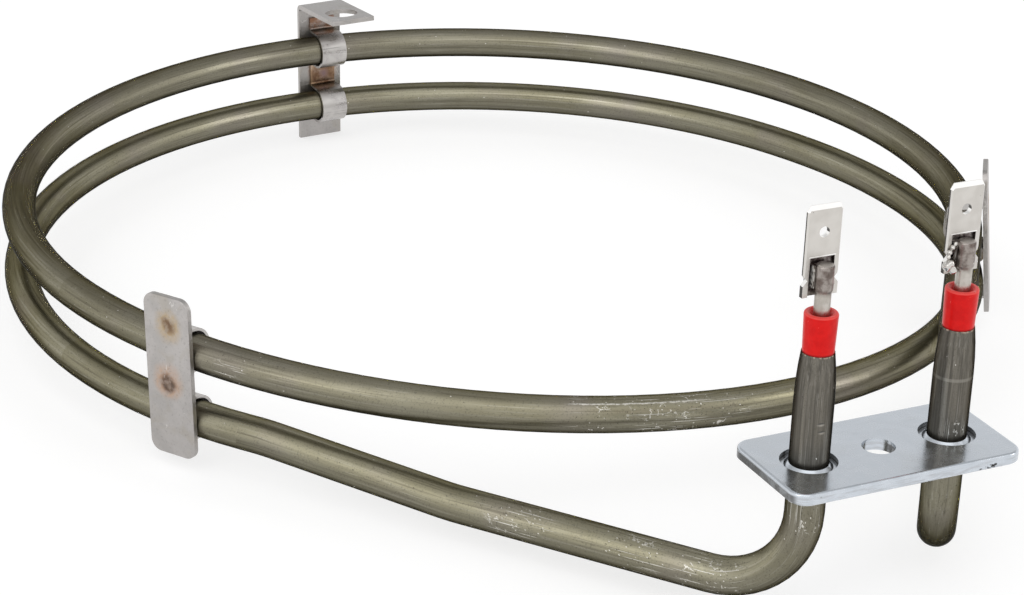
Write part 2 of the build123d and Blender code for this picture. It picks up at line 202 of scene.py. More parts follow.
# %% [markdown]
# ## A small kit, part three: the material
# `Finish` holds one material. Numbers that are the same all over go straight on the
# shader's own sockets when it is made, and `put` links in the ones that vary. `facing` tells
# which way the surface faces, and `near` is 1 at a point and fades to 0 round it, for marks
# that belong in one place.

# %% Finish
class Finish(Patterns):
    """A material being built."""

    def __init__(self, name, **settings):
        self.material = bpy.data.materials.new(name)
        self.material.use_nodes = True
        super().__init__(self.material.node_tree)
        self.shader = self.tree.nodes["Principled BSDF"]
        self.put(**settings)
        self.place = self.node("ShaderNodeTexCoord").outputs["Object"]

    def put(self, **sockets):
        for socket, value in sockets.items():
            self.feed(self.shader.inputs[socket.replace("_", " ")], value)

    def relief(self, height, depth, under=None):
        made = self.node("ShaderNodeBump")
        made.inputs["Strength"].default_value = 1.0
        made.inputs["Distance"].default_value = depth
        self.feed(made.inputs["Height"], height)
        if under is not None:
            self.feed(made.inputs["Normal"], under)
        return made.outputs[0]

    def facing(self):
        """Which way the surface faces: X, Y and Z of its normal."""
        return self.split(self.node("ShaderNodeNewGeometry").outputs["Normal"])

    def near(self, point, radius, squash=(1.0, 1.0, 1.0)):
        """1 at a point given in millimetres, falling to 0 at a radius."""
        away = self.shift(self.place, tuple(-c * MM for c in point))
        return self.spread(self.length(self.stretch(away, squash)), radius, 0.0)

    def dress(self, *nodes):
        for node in nodes:
            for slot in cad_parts[node].material_slots:
                slot.material = self.material
        print(self.material.name, "->", ", ".join(nodes))


print("materials ready")

# %% [markdown]
# ## Where along the tube, on the ring
# Each point of the sheath gets three coordinates: how far along the tube it lies, how far
# out from the centreline, and how far up. On the ring the height is counted from the turn
# that the point belongs to, and between the turns from the step that joins them, which is
# drawn as a smooth ramp.

# %% Coordinates on the ring
UPPER_REACH = 4.9 * MM               # points this far below the upper turn still belong to it
UPPER_FROM = math.radians(131.0)     # past this much of the step, a high point is the upper turn
LOWER_UNTIL = math.radians(27.0)     # before this much of it, a low point is the lower turn


def ring_run(f):
    """Along, out and up on the two turns."""
    x, y, z = f.split(f.place)
    y = f.calc("SUBTRACT", y, RING_AXIS_Y)
    from_axis = f.calc("SQRT", f.calc("ADD", f.times(x, x), f.times(y, y)))
    out = f.calc("SUBTRACT", from_axis, RING_RADIUS)
    angle = f.calc("ARCTAN2", y, x)
    past = f.calc("FLOORED_MODULO", f.calc("SUBTRACT", angle, STEP_START), math.tau)
    ramp = f.spread(past, 0.0, STEP_SWEEP, UPPER_TURN_Z, LOWER_TURN_Z)
    high = f.calc("GREATER_THAN", z, UPPER_TURN_Z - UPPER_REACH)
    on_upper = f.times(high, f.calc("GREATER_THAN", past, UPPER_FROM))
    on_lower = f.times(f.calc("SUBTRACT", 1.0, high), f.calc("LESS_THAN", past, LOWER_UNTIL))
    level = f.spread(on_upper, 0.0, 1.0, ramp, UPPER_TURN_Z, kind="LINEAR")
    level = f.spread(on_lower, 0.0, 1.0, level, LOWER_TURN_Z, kind="LINEAR")
    return f.join(f.times(past, RING_RADIUS), out, f.calc("SUBTRACT", z, level))


print("once round is", round(math.tau * RING_RADIUS / MM), "mm of tube")

# %% [markdown]
# ## Where along the tube, on the leads
# A lead is the straight run from the ring to its leg. It touches the ring at a tangent, so
# its direction follows from the leg's place. The bend up into the leg is unrolled, so lines
# drawn along the tube go round the bend instead of stopping at it.

# %% Coordinates on the leads
LEADS = (
    dict(side=-1, radius=RING_RADIUS, corner_z=-24.6 * MM, fall=(4.0 * MM, 41.0 * MM),
         ring_z=LOWER_TURN_Z),
    dict(side=1, radius=94.2 * MM, corner_z=-28.5 * MM, fall=(36.0 * MM, 118.0 * MM),
         ring_z=UPPER_TURN_Z),
)
LEAD_HALF_WIDTH = 4.6 * MM
LEAD_HALF_HEIGHT = 6.0 * MM
LEAD_ALONE = 45.0 * MM               # this far from the ring nothing else is near the lead


def touch_angle(side, radius):
    """Plan angle at which the straight lead from a leg touches the ring."""
    arm = Vector((side * LEG_X, -RING_AXIS_Y))
    return math.atan2(arm.y, arm.x) + side * math.acos(radius / arm.length)


def lead_run(f, side, radius, corner_z, fall, ring_z):
    """Along, out and up on a lead, its bend and its leg; and 1 where the point is on it."""
    angle = touch_angle(side, radius)
    outward = Vector((math.cos(angle), math.sin(angle)))
    leg = Vector((side * LEG_X, 0.0))
    lead = leg - Vector((0.0, RING_AXIS_Y)) - outward * radius
    x, y, z = f.split(f.place)
    from_leg_x = f.calc("SUBTRACT", x, leg.x)

    def reach_along(direction):
        return f.calc("ADD", f.times(from_leg_x, direction.x), f.times(y, direction.y))

    back = reach_along(-lead.normalized())
    out = reach_along(outward)
    fall_start, fall_end = fall
    drop = f.spread(back, lead.length - fall_end, lead.length - fall_start, corner_z, ring_z,
                    kind="LINEAR")
    level = f.calc("SUBTRACT", z, drop)
    below = f.calc("MAXIMUM", f.calc("SUBTRACT", LEG_BEND_R, level), 0.0)
    before = f.calc("MAXIMUM", f.calc("SUBTRACT", LEG_BEND_R, back), 0.0)
    bend = f.calc("SQRT", f.calc("ADD", f.times(below, below), f.times(before, before)))
    up = f.calc("SUBTRACT", LEG_BEND_R, bend)
    along = f.calc("SUBTRACT", back, z)
    beside = f.calc("LESS_THAN", f.calc("ABSOLUTE", out), LEAD_HALF_WIDTH)
    here = f.times(beside, f.calc("LESS_THAN", back, lead.length))
    own_level = f.calc("LESS_THAN", f.calc("ABSOLUTE", level), LEAD_HALF_HEIGHT)
    alone = f.calc("LESS_THAN", back, lead.length - LEAD_ALONE)
    return f.join(along, out, up), f.times(here, f.calc("MAXIMUM", own_level, alone))


def tube_run(f):
    """One set of coordinates for the whole sheath."""
    run = ring_run(f)
    for lead in LEADS:
        on_lead, here = lead_run(f, **lead)
        run = f.mix("VECTOR", here, run, on_lead)
    return run


print("the leads touch the ring at",
      [round(math.degrees(touch_angle(lead["side"], lead["radius"])), 1) for lead in LEADS])

# %% [markdown]
# ## The sheath's colours
# The sheath is drawn and annealed steel tube: satin, olive-grey, with fine lines along it and
# cloudy patches of heat tint. The legs are a darker, browner grey. A metal shader does this
# with a slow noise for the clouds and a stretched noise for the drawn lines. The noise is
# stretched by reading it at a few cells per metre along the tube and thousands across it.
# Off the legs, the sides and undersides of the tube are darkened in the colour, as painted shade.

# %% Sheath colours
CLOUDS, DRAWN_LINES, FINE_LINES = ((45.0, 120.0, 120.0), (28.0, 2300.0, 2300.0),
                                   (160.0, 6000.0, 6000.0))
LEG_FROM, LEG_FULL = -12.0 * MM, 2.0 * MM

sheath = Finish("annealed_sheath", Metallic=1.0, Specular_Tint=(0.04, 0.04, 0.05, 1.0))
run = tube_run(sheath)
height = sheath.split(sheath.place)[2]
on_leg = sheath.spread(height, LEG_FROM, LEG_FULL)
clouds = sheath.grain(sheath.stretch(run, CLOUDS), 1.0, 4.0, 0.6)
patches = sheath.grain(sheath.place, 60.0, 2.0)
drawn = sheath.grain(sheath.stretch(run, DRAWN_LINES), 1.0, 3.0, 0.65)
fine = sheath.grain(sheath.stretch(run, FINE_LINES), 1.0, 2.0, 0.6)
speckle = sheath.grain(sheath.place, 3200.0, 2.0, 0.6)

olive = sheath.tint(sheath.spread(clouds, 0.30, 0.70),
                    (0.262, 0.242, 0.162), (0.325, 0.306, 0.226))
olive = sheath.tint(sheath.spread(patches, 0.48, 0.75), olive, (0.305, 0.277, 0.226))
olive = sheath.tint(sheath.spread(drawn, 0.53, 0.70, 0.0, 0.60), olive, (0.110, 0.098, 0.070))
olive = sheath.tint(sheath.spread(drawn, 0.46, 0.28, 0.0, 0.50), olive, (0.47, 0.45, 0.375))
leg_grey = sheath.tint(sheath.spread(drawn, 0.30, 0.70),
                       (0.175, 0.162, 0.138), (0.095, 0.088, 0.076))
leg_grey = sheath.tint(sheath.spread(fine, 0.58, 0.75, 0.0, 0.5), leg_grey, (0.30, 0.28, 0.25))
colour = sheath.tint(on_leg, olive, leg_grey)
colour = sheath.tint(sheath.spread(speckle, 0.54, 0.68, 0.0, 0.42), colour,
                     (0.10, 0.092, 0.070))

# Painted shade: off the legs, faces turned sideways and downward are darkened.
facing_up = sheath.facing()[2]
scale = sheath.calc("ADD", sheath.spread(facing_up, 0.30, 0.04, 0.0, 0.42),
                    sheath.spread(facing_up, -0.15, -0.50, 0.0, 0.20))
scale = sheath.times(scale, sheath.calc("SUBTRACT", 1.0, on_leg))
colour = sheath.tint(scale, colour, (0.066, 0.063, 0.055))
print("the legs turn grey from", round(LEG_FROM / MM), "to", round(LEG_FULL / MM), "mm")

# %% [markdown]
# ## Where the sheath was rubbed
# Wear comes in patches, where the tube was clamped, bent or dragged over a bench. Each patch
# is a point with a reach. Inside it there are more bright nicks, dark pits, crossing ticks
# and fine scrapes along the tube than outside. Marks spread evenly would look printed.

# %% Nicks, ticks, scrapes and pits
# X, Y, Z and reach of each patch, in millimetres.
RUBBED = ((-25.4, 46.3, -9.9, 8.0), (-11.5, 43.1, -12.5, 11.0), (-2.0, 42.4, -13.4, 6.0),
          (-44.0, 38.4, -22.0, 9.0), (-30.6, 22.2, -22.3, 9.0), (-23.6, 10.2, -22.6, 9.0),
          (-14.2, -2.7, -8.1, 5.0), (-84.0, 80.0, -10.0, 9.0), (12.0, -3.0, 2.0, 3.0))
rubbed = 0.0
for *point, reach in RUBBED:
    rubbed = sheath.calc("MAXIMUM", rubbed, sheath.near(point, reach * MM))
chance = sheath.calc("ADD", sheath.times(rubbed, 0.40), 0.015)
nicks = sheath.dots(sheath.stretch(run, (0.6, 1.0, 1.0)), 2100.0, 0.24, chance)
ticks = sheath.hairs(sheath.stretch(run, (0.7, 1.0, 1.0)), 620.0, 0.05, 0.60)
ticks = sheath.times(ticks, sheath.spread(rubbed, 0.10, 0.50, 0.0, 0.75))
lines = sheath.grain(sheath.stretch(run, (90.0, 5200.0, 5200.0)), 1.0, 1.0)
scrapes = sheath.times(sheath.spread(lines, 0.66, 0.72),
                       sheath.spread(rubbed, 0.02, 0.40, 0.12, 0.90))
bright = sheath.calc("MAXIMUM", sheath.calc("MAXIMUM", nicks, ticks), scrapes)
pits = sheath.dots(sheath.shift(run, (0.3, 0.1, 0.2)), 2300.0, 0.26,
                   sheath.times(chance, 1.3))
print(len(RUBBED), "rubbed patches")

# %% [markdown]
# ## One long scratch
# The front of the upper turn has one long scratch, the kind that a bench corner leaves. Its
# place is known, so it is drawn rather than left to chance: a line at a fixed angle round
# the tube, between two distances along it, that wanders a little and is broken by noise.

# %% Long scratch
SCRATCH_START, SCRATCH_END = 101.0 * MM, 127.0 * MM
SCRATCH_ANGLE, SCRATCH_WANDER = 57.0, 6.0      # degrees round the tube
SCRATCH_WIDTH = 0.20 * MM
SCRATCH_FADE = 4.0 * MM


def long_scratch(f, run):
    along, out, up = f.split(run)
    wander = f.grain(f.stretch(run, (420.0, 0.0, 0.0)), 1.0, 4.0, 0.7)
    path = f.spread(wander, 0.0, 1.0, math.radians(SCRATCH_ANGLE - SCRATCH_WANDER),
                    math.radians(SCRATCH_ANGLE + SCRATCH_WANDER), kind="LINEAR")
    off = f.calc("ABSOLUTE", f.calc("SUBTRACT", f.calc("ARCTAN2", up, out), path))
    line = f.spread(off, SCRATCH_WIDTH / TUBE_R, 0.3 * SCRATCH_WIDTH / TUBE_R)
    reach = f.times(f.spread(along, SCRATCH_START, SCRATCH_START + SCRATCH_FADE),
                    f.spread(along, SCRATCH_END, SCRATCH_END - SCRATCH_FADE))
    broken = f.spread(f.grain(f.stretch(run, (1100.0, 0.0, 0.0)), 1.0, 3.0, 0.6),
                      0.40, 0.54, 0.25, 1.0)
    return f.times(line, reach, broken)


# The leads repeat these distances, so the scratch is kept to the left of the upper turn.
on_upper_left = sheath.times(sheath.spread(height, -14.0 * MM, -12.0 * MM),
                             sheath.calc("LESS_THAN", sheath.split(sheath.place)[0], 0.0))
scratch = sheath.times(long_scratch(sheath, run), on_upper_left)
bright = sheath.calc("MAXIMUM", bright, scratch)
colour = sheath.tint(sheath.times(bright, 0.88), colour, (0.80, 0.78, 0.72))
colour = sheath.tint(sheath.times(pits, 0.8), colour, (0.05, 0.045, 0.035))
print("scratch of", round((SCRATCH_END - SCRATCH_START) / MM), "mm")

# %% [markdown]
# ## The legs' own marks
# The right leg has a faint ring where a die gripped it, and the left one two small dents, which
# are also painted lighter as a highlight.
# Both legs were rolled in round their seals, which left a coppery, broken lip at the mouth.
# The drawn lines are raised by a hundredth or two of a millimetre, so that light breaks on
# them, and the nicks, pits and dents stand out or go in a little more.

# %% Collar, dents, mouth and relief
COLLAR_Z = 10.7 * MM
from_collar = sheath.calc("ABSOLUTE", sheath.calc("SUBTRACT", height, COLLAR_Z))
right_leg = sheath.near((LEG_X / MM, 0.0, COLLAR_Z / MM), 6.0 * MM)
collar = sheath.times(sheath.spread(from_collar, 0.40 * MM, 0.15 * MM),
                      sheath.spread(right_leg, 0.05, 0.30))
colour = sheath.tint(sheath.times(collar, 0.5), colour, (0.30, 0.285, 0.25))
# The two dents are pressed in by the relief and painted lighter, as a painted highlight.
dents_and_highlight = sheath.calc("MAXIMUM", sheath.near((-13.4, -3.0, 7.7), 0.9 * MM, (1.0, 1.0, 2.2)),
                    sheath.near((-13.2, -3.0, 6.3), 0.8 * MM, (1.0, 1.0, 2.0)))
colour = sheath.tint(sheath.times(dents_and_highlight, 0.6), colour, (0.50, 0.47, 0.42))
mouth = sheath.spread(height, LEG_TOP_Z - 0.35 * MM, LEG_TOP_Z - 0.05 * MM)
mouth = sheath.times(mouth, sheath.spread(sheath.grain(sheath.place, 1900.0), 0.46, 0.60))
colour = sheath.tint(mouth, colour, (0.50, 0.40, 0.32))

marks = sheath.calc("ADD", sheath.times(bright, 0.4), sheath.times(pits, -1.0))
marks = sheath.calc("SUBTRACT", marks, sheath.times(dents_and_highlight, 3.0))
ridges = sheath.relief(sheath.calc("ADD", drawn, sheath.times(fine, 0.35)), 0.016 * MM)
sheath.put(Base_Color=colour, Roughness=sheath.spread(drawn, 0.3, 0.7, 0.27, 0.40),
           Normal=sheath.relief(marks, 0.05 * MM, ridges))
sheath.dress("sheath_tube")

# %% [markdown]
# ## What the sheath holds
# The sheath is packed with white powder round a wound wire. Neither shows on a whole
# element, but a cut-away view would show them, so both get their own finish: the powder
# chalky and slightly lumpy, the wire dull with the pitch of its winding.

# %% Powder and wire
WINDING_WAVES = 5200.0               # radians of the sine per metre of wire: a 1.2 mm pitch

powder = Finish("packed_powder", Roughness=0.95, Specular_IOR_Level=0.15)
lumps = powder.grain(powder.place, 900.0, 5.0, 0.7)
powder.put(Base_Color=powder.tint(lumps, (0.80, 0.77, 0.71), (0.92, 0.90, 0.86)),
           Normal=powder.relief(lumps, 0.12 * MM))
powder.dress("magnesia_fill")

wire = Finish("wound_wire", Metallic=1.0, Roughness=0.45)
pitch = wire.calc("SINE", wire.times(wire.split(ring_run(wire))[0], WINDING_WAVES))
wire.put(Base_Color=wire.tint(wire.spread(pitch, -1.0, 1.0),
                              (0.16, 0.14, 0.12), (0.42, 0.39, 0.35)),
         Normal=wire.relief(pitch, 0.25 * MM))
wire.dress("resistance_coil")

# %% [markdown]
# ## The flange's zinc
# The flange is stamped plate with bright zinc on it: bluish white, faintly mottled, and
# shiny enough to mirror the legs as soft dark columns. Low roughness with a slow noise in it
# gives the mirror its wobble. Zinc taken from a picture would bring its own light with it,
# and would look wrong under any other.

# %% Zinc
zinc = Finish("bright_zinc", Metallic=1.0)
x, y, height = zinc.split(zinc.place)
mottle = zinc.grain(zinc.place, 420.0, 4.0, 0.6)
speckle = zinc.grain(zinc.place, 3800.0, 2.0, 0.7)
cloud = zinc.grain(zinc.place, 110.0, 2.0, 0.5, 0.6)
colour = zinc.tint(zinc.spread(mottle, 0.25, 0.75), (0.54, 0.58, 0.63), (0.61, 0.65, 0.70))
colour = zinc.tint(zinc.spread(cloud, 0.50, 0.72, 0.0, 0.5), colour, (0.55, 0.58, 0.61))
colour = zinc.tint(zinc.dots(zinc.place, 700.0, 0.10, 0.05), colour, (0.17, 0.17, 0.18))
print("zinc coat mixed")

# %% [markdown]
# ## The flange's cut edges
# The die that stamped the flange tore its edge: streaked all round, nicked here and there,
# dark along the left end where it was sheared, and chipped near the right front corner.
# Each leg is staked, and the groove round its collar is deep and narrow, so it is painted black
# as shade. All of these are found by height, by facing, or by distance to a known point.

# %% Edges, chips and crevices
EDGE_FROM, EDGE_FULL = -0.35 * MM, -0.7 * MM   # heights at which the top turns into the edge
GROOVE_INNER, GROOVE_OUTER = 4.55 * MM, 4.80 * MM

side = zinc.spread(height, EDGE_FROM, EDGE_FULL)
torn = zinc.grain(zinc.stretch(zinc.place, (260.0, 260.0, 2600.0)), 1.0, 4.0, 0.7)
colour = zinc.tint(zinc.times(zinc.spread(torn, 0.42, 0.62, 0.0, 0.6), side), colour,
                   (0.42, 0.43, 0.45))
nicked = zinc.dots(zinc.stretch(zinc.place, (0.5, 0.5, 1.0)), 900.0, 0.30, 0.05)
colour = zinc.tint(zinc.times(nicked, side), colour, (0.08, 0.08, 0.08))
sheared = zinc.times(zinc.spread(zinc.facing()[0], -0.75, -0.95), side)
colour = zinc.tint(zinc.times(sheared, zinc.spread(mottle, 0.35, 0.60, 0.55, 0.95)), colour,
                   (0.15, 0.15, 0.15))
burr = zinc.near((14.8, -10.4, -1.9), 3.6 * MM, (1.0, 1.0, 3.0))
chips = zinc.grain(zinc.stretch(zinc.place, (900.0, 900.0, 1500.0)), 1.0, 2.0, 0.7)
colour = zinc.tint(zinc.times(zinc.spread(burr, 0.10, 0.30), zinc.spread(chips, 0.54, 0.58)),
                   colour, (0.05, 0.05, 0.05))
for leg_x in (-LEG_X, LEG_X):
    from_leg = zinc.calc("SUBTRACT", x, leg_x)
    reach = zinc.calc("SQRT", zinc.calc("ADD", zinc.times(from_leg, from_leg),
                                        zinc.times(y, y)))
    # Painted shade: the walls of the stake groove are painted near black.
    groove_shade = zinc.times(zinc.spread(reach, GROOVE_INNER, GROOVE_INNER + 0.13 * MM),
                         zinc.spread(reach, GROOVE_OUTER, GROOVE_OUTER - 0.08 * MM),
                         zinc.spread(height, -0.02 * MM, -0.10 * MM))
    colour = zinc.tint(groove_shade, colour, (0.075, 0.075, 0.075))
zinc.put(Base_Color=colour, Roughness=zinc.spread(mottle, 0.3, 0.7, 0.20, 0.30),
         Normal=zinc.relief(zinc.calc("ADD", cloud, zinc.times(speckle, 0.05)), 0.07 * MM))
zinc.dress("flange_plate")

# %% [markdown]
# ## Heat colours of a spot weld
# A spot weld leaves a dent ringed by heat colours: a violet or teal heart, a brown ring, and
# a pale straw halo. The rings come from the distance to the weld's centre, bent by noise and
# leant to one side, so that none is a true circle. The dents themselves are in the solids.

# %% Weld spots
HEAT_BEND = 1.1 * MM                 # how far the noise pushes the rings out of round


def weld_distance(f, point, size, lean):
    """Distance to a weld's centre, in sizes of the weld, bent and leant."""
    noise_push = f.shift(f.grain_colour(f.place, 420.0), (-0.5,) * 3)
    bent = f.shift(f.place, f.stretch(noise_push, (HEAT_BEND,) * 3))
    away = f.shift(bent, tuple(-c * MM for c in point))
    far = f.calc("DIVIDE", f.length(away), size)
    return f.calc("ADD", far, f.times(f.split(away)[2], lean / size))


def paint_heat(f, colour, far, heart, ring, halo):
    patchy = f.spread(f.grain(f.place, 900.0, 3.0, 0.6), 0.35, 0.60, 0.55, 1.0)
    colour = f.tint(f.times(f.spread(far, 2.0, 0.9, 0.0, 0.85), patchy), colour, halo)
    band = f.times(f.spread(far, 0.20, 0.70), f.spread(far, 1.25, 0.75))
    colour = f.tint(f.times(band, patchy), colour, ring)
    return f.tint(f.spread(far, 0.62, 0.20), colour, heart)


# Centres of the upper and the lower weld on each plate, in millimetres.
WELDS = {
    "left_bracket_plate": ((-85.4, 92.9, -2.7), (-85.6, 92.9, -15.0)),
    "right_bracket_plate": ((83.4, 90.3, -4.7), (82.5, 90.3, -16.0)),
    "back_bracket_plate": ((2.4, 239.5, -2.9), (2.6, 239.5, -15.2)),
}
# Heart, ring and halo of the upper and the lower weld.
VIOLET_WELD = ((0.165, 0.105, 0.200), (0.185, 0.110, 0.062), (0.50, 0.36, 0.19))
TEAL_WELD = ((0.230, 0.260, 0.270), (0.110, 0.062, 0.038), (0.56, 0.35, 0.22))
print(sum(len(points) for points in WELDS.values()), "weld spots")

# %% [markdown]
# ## Bracket plates
# The bracket plates are bare light-grey sheet with a fine orange-peel skin, faint stains and
# a few rub marks. They darken a little towards the bottom. All three share one recipe, and
# each gets a material of its own because its welds are in other places.

# %% Sheet
for plate, points in WELDS.items():
    sheet = Finish("sheet_" + plate.split("_")[0], Metallic=1.0)
    skin = sheet.grain(sheet.place, 2200.0, 3.0, 0.6)
    haze = sheet.grain(sheet.place, 260.0, 3.0, 0.6)
    colour = sheet.tint(sheet.spread(haze, 0.35, 0.65),
                        (0.44, 0.42, 0.405), (0.51, 0.485, 0.47))
    stain = sheet.grain(sheet.place, 150.0, 3.0, 0.6, 0.8)
    colour = sheet.tint(sheet.spread(stain, 0.52, 0.68, 0.0, 0.5), colour,
                        (0.42, 0.385, 0.33))
    for point, size, tones, lean in zip(points, (2.0 * MM, 2.1 * MM),
                                        (VIOLET_WELD, TEAL_WELD), (0.20, -0.25)):
        far = weld_distance(sheet, point, size, lean)
        colour = paint_heat(sheet, colour, far, *tones)
    low_down = sheet.spread(sheet.split(sheet.place)[2], -1.0 * MM, -22.0 * MM, 0.08, 0.24)
    colour = sheet.tint(low_down, colour, (0.21, 0.20, 0.195))
    colour = sheet.tint(sheet.spread(skin, 0.55, 0.70, 0.0, 0.30), colour,
                        (0.20, 0.19, 0.18))
    # Painted shade: faces turned upward are darkened.
    colour = sheet.tint(sheet.spread(sheet.facing()[2], 0.80, 0.97, 0.0, 0.35), colour,
                        (0.22, 0.22, 0.22))
    worn = sheet.hairs(sheet.stretch(sheet.place, (1.0, 1.0, 0.5)), 420.0, 0.03, 0.60)
    colour = sheet.tint(sheet.times(worn, 0.5), colour, (0.75, 0.73, 0.70))
    sheet.put(Base_Color=colour, Roughness=sheet.spread(haze, 0.3, 0.7, 0.36, 0.46),
              Normal=sheet.relief(skin, 0.09 * MM))
    sheet.dress(plate)

# %% [markdown]
# ## Straps
# The straps are thinner, shinier strip, rolled crosswise. Where strip lies flat on its plate it
# was welded: scorched brown at the lip above the upper turn, and with a weld's heart and ring in
# the middle of the flat part between the turns. The up-facing necks that bend away from the plate
# are painted dark, as a painted reflection of the tube and plate.

# %% Strap finish
FLAT_FROM, FLAT_FULL = 2.3 * MM, 2.8 * MM      # distance out at which strip lies on its plate
LIP_FROM_Z, LIP_FULL_Z = -4.6 * MM, -4.0 * MM
BETWEEN_Z = -15.3 * MM
SCORCHED_WELD = ((0.150, 0.100, 0.140), (0.125, 0.065, 0.038), (0.40, 0.27, 0.17))

strap = Finish("rolled_strip", Metallic=1.0)
height = strap.split(strap.place)[2]
out = strap.split(ring_run(strap))[1]
rolled = strap.grain(strap.stretch(strap.place, (90.0, 90.0, 2600.0)), 1.0, 2.0, 0.5)
blotch = strap.grain(strap.place, 300.0, 3.0, 0.6, 0.5)
colour = strap.tint(strap.spread(blotch, 0.35, 0.65), (0.42, 0.40, 0.39), (0.52, 0.50, 0.48))
colour = strap.tint(strap.spread(rolled, 0.63, 0.70, 0.0, 0.55), colour, (0.16, 0.15, 0.145))
colour = strap.tint(strap.spread(rolled, 0.36, 0.30, 0.0, 0.50), colour, (0.68, 0.66, 0.64))
# Painted reflection: the up-facing necks away from the plate are darkened.
painted_neck_reflection = strap.times(strap.spread(out, 0.1 * MM, 1.5 * MM),
                   strap.spread(strap.facing()[2], 0.25, 0.80))
colour = strap.tint(strap.times(painted_neck_reflection, 0.85), colour, (0.120, 0.108, 0.080))
flat = strap.spread(out, FLAT_FROM, FLAT_FULL)
lip = strap.times(flat, strap.spread(height, LIP_FROM_Z, LIP_FULL_Z))
colour = strap.tint(strap.times(lip, strap.spread(blotch, 0.36, 0.56, 0.45, 1.0)), colour,
                    (0.25, 0.135, 0.085))
from_middle = strap.calc("ABSOLUTE", strap.calc("SUBTRACT", height, BETWEEN_Z))
between = strap.times(flat, strap.spread(from_middle, 3.0 * MM, 2.2 * MM))
colour = strap.tint(strap.times(between, strap.spread(blotch, 0.36, 0.58, 0.25, 0.95)), colour,
                    (0.33, 0.21, 0.12))
off_flat = strap.times(strap.calc("SUBTRACT", 1.0, flat), 10.0)
for upper, lower in WELDS.values():
    far = strap.calc("ADD", weld_distance(strap, lower, 3.2 * MM, 0.20), off_flat)
    colour = paint_heat(strap, colour, far, *SCORCHED_WELD)
strap.put(Base_Color=colour, Roughness=strap.spread(blotch, 0.3, 0.7, 0.24, 0.34),
          Normal=strap.relief(rolled, 0.010 * MM))
strap.dress("left_bracket_strap", "right_bracket_strap", "back_bracket_strap")

# %% [markdown]
# ## Terminal pins and their welds
# Each terminal is a drawn steel pin, pale where it leaves the seal and scorched above, where its
# blade was welded on. The top end was cut and stays bright, and on the right-facing side fine
# spatter specks are painted as bright glints. The weld metal between pin and blade froze in
# lumps, which is noise in the colour, in the gloss and in the relief at once.

# %% Pins and welds
SCORCH_FROM, SCORCH_FULL = 28.3 * MM, 29.6 * MM

pin = Finish("drawn_pin", Metallic=1.0)
crust = pin.grain(pin.stretch(pin.place, (1300.0, 1300.0, 700.0)), 1.0, 4.0, 0.7)
tarnish = pin.grain(pin.place, 520.0, 3.0, 0.6)
facing_right, _, facing_up = pin.facing()
bare = pin.tint(pin.spread(tarnish, 0.35, 0.65), (0.42, 0.39, 0.35), (0.53, 0.50, 0.46))
burnt = pin.tint(pin.spread(tarnish, 0.38, 0.62), (0.155, 0.125, 0.110), (0.34, 0.305, 0.28))
burnt = pin.tint(pin.spread(crust, 0.56, 0.68, 0.0, 0.6), burnt, (0.09, 0.07, 0.06))
colour = pin.tint(pin.spread(pin.split(pin.place)[2], SCORCH_FROM, SCORCH_FULL), bare, burnt)
colour = pin.tint(pin.spread(facing_up, 0.70, 0.95, 0.0, 0.85), colour, (0.56, 0.53, 0.50))
# Painted highlights: bright glint specks on faces turned to the right.
painted_glints = pin.dots(pin.place, 1900.0, 0.28, pin.spread(facing_right, 0.0, 0.6, 0.02, 0.16))
colour = pin.tint(painted_glints, colour, (0.85, 0.83, 0.80))
pin.put(Base_Color=colour, Roughness=pin.spread(crust, 0.3, 0.7, 0.26, 0.42),
        Normal=pin.relief(crust, 0.03 * MM))
pin.dress("left_terminal_pin", "right_terminal_pin")

bead = Finish("weld_bead", Metallic=1.0)
melt = bead.grain(bead.place, 1200.0, 3.0, 0.6, 0.6)
bead.put(Base_Color=bead.tint(bead.spread(melt, 0.35, 0.65),
                              (0.14, 0.12, 0.10), (0.55, 0.53, 0.50)),
         Roughness=bead.spread(melt, 0.3, 0.7, 0.2, 0.45), Normal=bead.relief(melt, 0.2 * MM))
bead.dress("left_pin_weld", "right_pin_weld")

# %% [markdown]
# ## Blades
# The blades are nickel-plated: pale, clean and finely frosted. Their cut side faces and
# undersides are painted dark as shade, their slanted corners are painted lighter and their upward
# edges white, as painted highlights. Inside the pressed channel, where the welding heat stayed,
# the nickel is nearly black, with a painted highlight along the rim of the step. Which face is
# which comes from the way it points, so no face has to be picked by hand.

# %% Nickel
BLADE_STEP_Z = 34.4 * MM
FRONT_Y = 1.0 * MM
CHANNEL_HALF = 2.25 * MM
# Colours of the painted highlights on the upward edges and along the channel's rim.
PAINTED_EDGE_HIGHLIGHT, PAINTED_RIM_HIGHLIGHT = (0.97, 0.96, 0.94), (0.96, 0.95, 0.93)

nickel = Finish("nickel_plate", Metallic=1.0)
frost = nickel.grain(nickel.place, 2600.0, 3.0, 0.6)
bloom = nickel.grain(nickel.place, 330.0, 2.0, 0.5)
colour = nickel.tint(nickel.spread(bloom, 0.35, 0.65), (0.565, 0.54, 0.505), (0.63, 0.605, 0.57))
specks = nickel.dots(nickel.place, 1500.0, 0.16, 0.06)
colour = nickel.tint(nickel.times(specks, 0.8), colour, (0.20, 0.18, 0.16))
facing_x, _, facing_z = nickel.facing()
sideways = nickel.calc("ABSOLUTE", facing_x)
# Painted shade: the side faces are darkened.
colour = nickel.tint(nickel.spread(sideways, 0.80, 0.95), colour, (0.085, 0.08, 0.075))
# Painted highlights: the slanted corners are lightened and the upward edges painted white.
slant_highlight = nickel.calc("COMPARE", sideways, 0.70, 0.12)
colour = nickel.tint(nickel.times(slant_highlight, 0.7), colour, (0.66, 0.64, 0.61))
colour = nickel.tint(nickel.spread(facing_z, 0.12, 0.25), colour, PAINTED_EDGE_HIGHLIGHT)
# Painted shade: faces turned downward are darkened.
colour = nickel.tint(nickel.spread(facing_z, -0.5, -0.9, 0.0, 0.85), colour,
                     (0.11, 0.095, 0.085))

